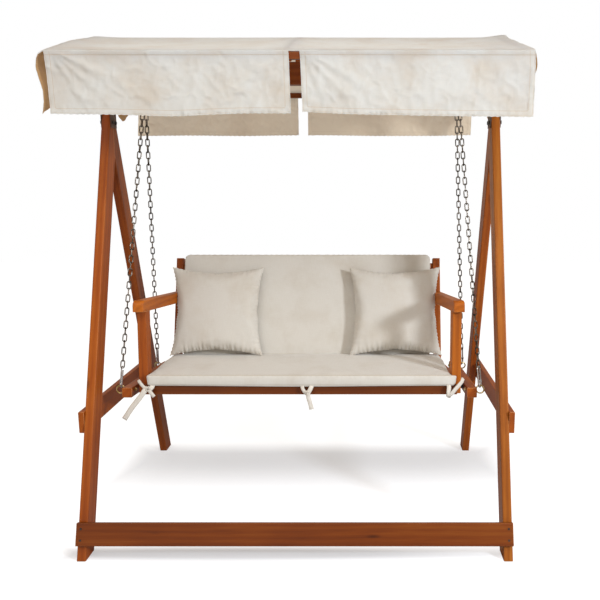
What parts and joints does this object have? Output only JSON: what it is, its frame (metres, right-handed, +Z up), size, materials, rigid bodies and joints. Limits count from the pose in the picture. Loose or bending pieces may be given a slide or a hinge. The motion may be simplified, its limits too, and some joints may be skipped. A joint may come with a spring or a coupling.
{
  "type": "canopy garden swing",
  "caption": "Wooden garden swing with A-frame legs, a cloth canopy over the beam and a cushioned bench seat hung on chains with snap hooks.",
  "frame": {"origin": "on the ground under the middle of the main beam, midway between the four feet", "axes": "+X to the right seen from the front, +Y to the back, +Z up"},
  "size_m": [1.701, 1.144, 2],
  "materials": {
    "stained_wood": "orange-brown stain, satin, eased edges",
    "canopy_cloth": "ecru canvas, stitched hems",
    "cushion_cloth": "light beige woven cover",
    "pillow_cloth": "cream woven cover",
    "chain_steel": "galvanised, dulled",
    "bright_steel": "bright zinc plating",
    "ring_brass": "yellow passivated, satin",
    "dark_steel": "dark grey coating, matt"
  },
  "bodies": {
    "frame": {"apex_bolts": "dark_steel", "apex_brackets": "dark_steel", "beam_eye_bolts": "bright_steel", "beam_eye_nuts": "bright_steel", "brace_screws": "dark_steel", "canopy_arms": "stained_wood", "canopy_eave_rails": "stained_wood", "canopy_front_flaps": "canopy_cloth", "canopy_gable_flaps": "canopy_cloth", "canopy_rafters": "stained_wood", "canopy_rear_flaps": "canopy_cloth", "canopy_ridge_posts": "stained_wood", "canopy_ridge_rail": "stained_wood", "canopy_roof_front": "canopy_cloth", "canopy_roof_rear": "canopy_cloth", "front_leg_left": "stained_wood", "front_leg_right": "stained_wood", "front_stretcher": "stained_wood", "main_beam": "stained_wood", "rear_leg_left": "stained_wood", "rear_leg_right": "stained_wood", "side_braces": "stained_wood", "stretcher_screws": "dark_steel"},
    "seat": {"arm_post_left": "stained_wood", "arm_post_right": "stained_wood", "armrest_left": "stained_wood", "armrest_right": "stained_wood", "back_cushion": "cushion_cloth", "back_post_left": "stained_wood", "back_post_right": "stained_wood", "back_rails": "stained_wood", "back_slats": "stained_wood", "bearer_left": "stained_wood", "bearer_right": "stained_wood", "bearer_screws": "dark_steel", "bearer_spacers": "dark_steel", "chain_front_left": "chain_steel", "chain_front_right": "chain_steel", "chain_rear_left": "chain_steel", "chain_rear_right": "chain_steel", "cushion_ties": "cushion_cloth", "pillow_left": "pillow_cloth", "pillow_right": "pillow_cloth", "ring_eyes": "ring_brass", "ring_nuts": "ring_brass", "seat_cushion": "cushion_cloth", "seat_front_rail": "stained_wood", "seat_ledger": "stained_wood", "seat_rear_rail": "stained_wood", "seat_side_rail_left": "stained_wood", "seat_side_rail_right": "stained_wood", "seat_slats": "stained_wood", "shackles": "bright_steel", "snap_hooks": "bright_steel"},
    "snap_gate_front_left": {"snap_gate_front_left": "bright_steel"},
    "snap_gate_front_right": {"snap_gate_front_right": "bright_steel"},
    "snap_gate_rear_left": {"snap_gate_rear_left": "bright_steel"},
    "snap_gate_rear_right": {"snap_gate_rear_right": "bright_steel"}
  },
  "joints": [
    {"name": "seat_swing", "type": "hinge", "parent": "frame", "child": "seat", "pos_m": [0, 0, 1.76], "axis": [1, 0, 0], "range_deg": [-20, 20]},
    {"name": "snap_gate_front_left_hinge", "type": "hinge", "parent": "seat", "child": "snap_gate_front_left", "pos_m": [-0.74527, -0.22499, 0.60199], "axis": [0.8718, 0.4636, -0.1581], "range_deg": [0, 20], "stiffness_Nm_per_rad": 0.05},
    {"name": "snap_gate_front_right_hinge", "type": "hinge", "parent": "seat", "child": "snap_gate_front_right", "pos_m": [0.74527, -0.22499, 0.60199], "axis": [0.8718, -0.4636, 0.1581], "range_deg": [0, 20], "stiffness_Nm_per_rad": 0.05},
    {"name": "snap_gate_rear_left_hinge", "type": "hinge", "parent": "seat", "child": "snap_gate_rear_left", "pos_m": [-0.74477, 0.26473, 0.5681], "axis": [0.8824, 0.4692, 0.0352], "range_deg": [0, 20], "stiffness_Nm_per_rad": 0.05},
    {"name": "snap_gate_rear_right_hinge", "type": "hinge", "parent": "seat", "child": "snap_gate_rear_right", "pos_m": [0.74477, 0.26473, 0.5681], "axis": [0.8824, -0.4692, -0.0352], "range_deg": [0, 20], "stiffness_Nm_per_rad": 0.05}
  ]
}
